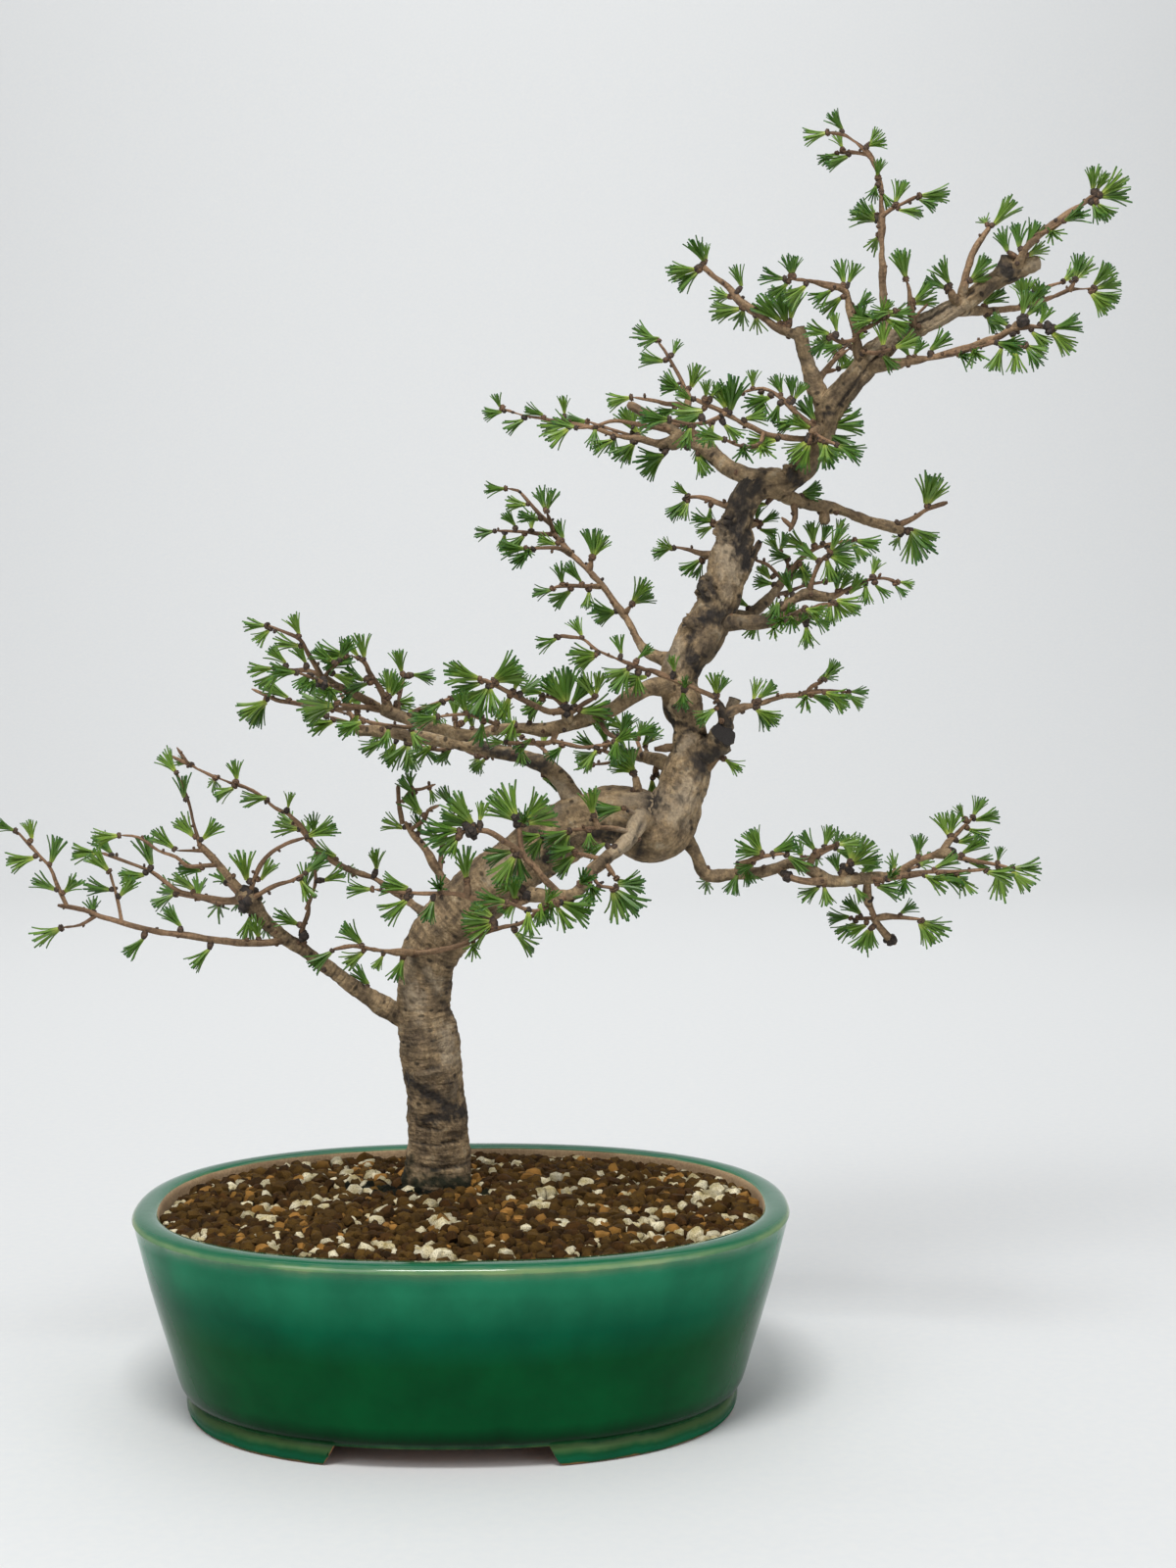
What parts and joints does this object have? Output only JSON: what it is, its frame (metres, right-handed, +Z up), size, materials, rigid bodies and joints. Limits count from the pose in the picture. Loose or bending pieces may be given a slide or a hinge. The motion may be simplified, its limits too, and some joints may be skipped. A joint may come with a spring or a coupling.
{
  "type": "potted larch bonsai",
  "caption": "Bent-trunk larch bonsai with tufts of needles on sparse branches, growing in granular soil in a green glazed oval pot with a notched foot.",
  "frame": {"origin": "centre of the whole part's bounding box in plan, at the level of the feet it stands on", "axes": "+Z up, +X along the pot's long side towards the tree's crown, -Y towards the viewer of the tree's front"},
  "size_m": [0.5056, 0.228, 0.5828],
  "materials": {
    "glaze": "gloss green glaze on stoneware",
    "soil": "loose akadama, pumice and lava granules",
    "screen": "moulded mesh",
    "bark": "grey-brown bark",
    "needles": "green needles on brown twigs"
  },
  "bodies": {
    "root": {"pot": "glaze", "soil": "soil", "drainage_screen_left": "screen", "drainage_screen_right": "screen", "trunk": "bark", "branch_arch": "needles", "branch_bare": "needles", "branch_cross_mid": "needles", "branch_crown_low": "needles", "branch_crown_right": "needles", "branch_diagonal": "needles", "branch_front": "needles", "branch_inner_left": "needles", "branch_low_cross": "needles", "branch_low_left": "needles", "branch_mid_lower": "needles", "branch_mid_right": "needles", "branch_mid_right_back": "needles", "branch_mid_upper": "needles", "branch_right_low": "needles", "branch_twisted": "needles", "branch_upper_front": "needles", "branch_upper_left": "needles", "cluster_upper_front": "needles", "spur_bend": "needles", "spur_left": "needles", "spur_low_right": "needles", "spur_right": "needles", "twig_crown_cross": "needles", "twig_crown_end": "needles", "twig_crown_left": "needles", "twig_crown_mid": "needles", "twig_crown_spurs": "needles", "twig_crown_tall": "needles", "twig_crown_up": "needles", "twig_left_high": "needles", "twig_left_low": "needles"}
  },
  "joints": []
}
